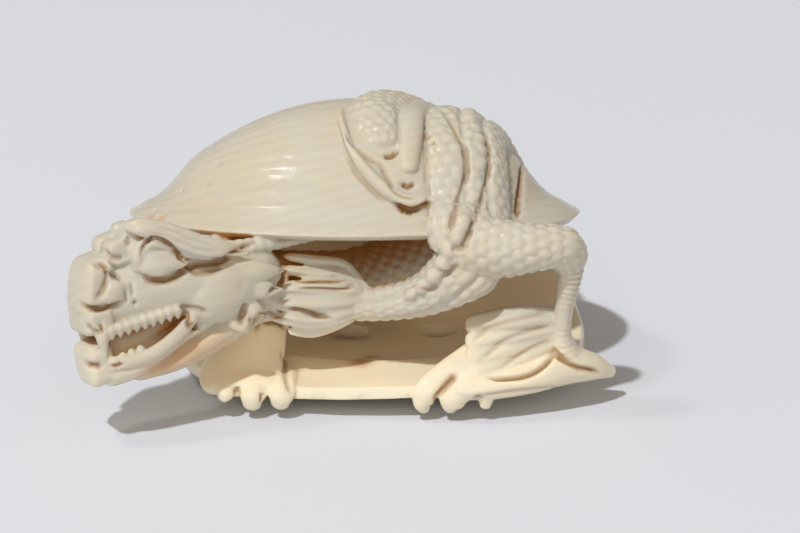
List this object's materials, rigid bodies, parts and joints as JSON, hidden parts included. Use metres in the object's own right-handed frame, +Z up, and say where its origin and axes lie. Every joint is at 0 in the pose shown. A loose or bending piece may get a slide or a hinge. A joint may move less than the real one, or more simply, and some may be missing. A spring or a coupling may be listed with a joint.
{
  "type": "netsuke",
  "caption": "Carved ivory toggle: a dragon winds out of an open clam, over its dome and down to its lip, with cord holes underneath.",
  "frame": {"origin": "under the middle of the carving, on the surface that it rests on", "axes": "+Z up; +X from the head's side to the hind leg's side, the longest extent; -Y towards the clam's open front; the hinge is at +Y"},
  "size_m": [0.0536, 0.0409, 0.0286],
  "materials": {
    "ivory": "polished ivory, warm cream, darker and warmer in the deep cuts"
  },
  "bodies": {
    "root": {"dragon_in_clam": "ivory"}
  },
  "joints": []
}
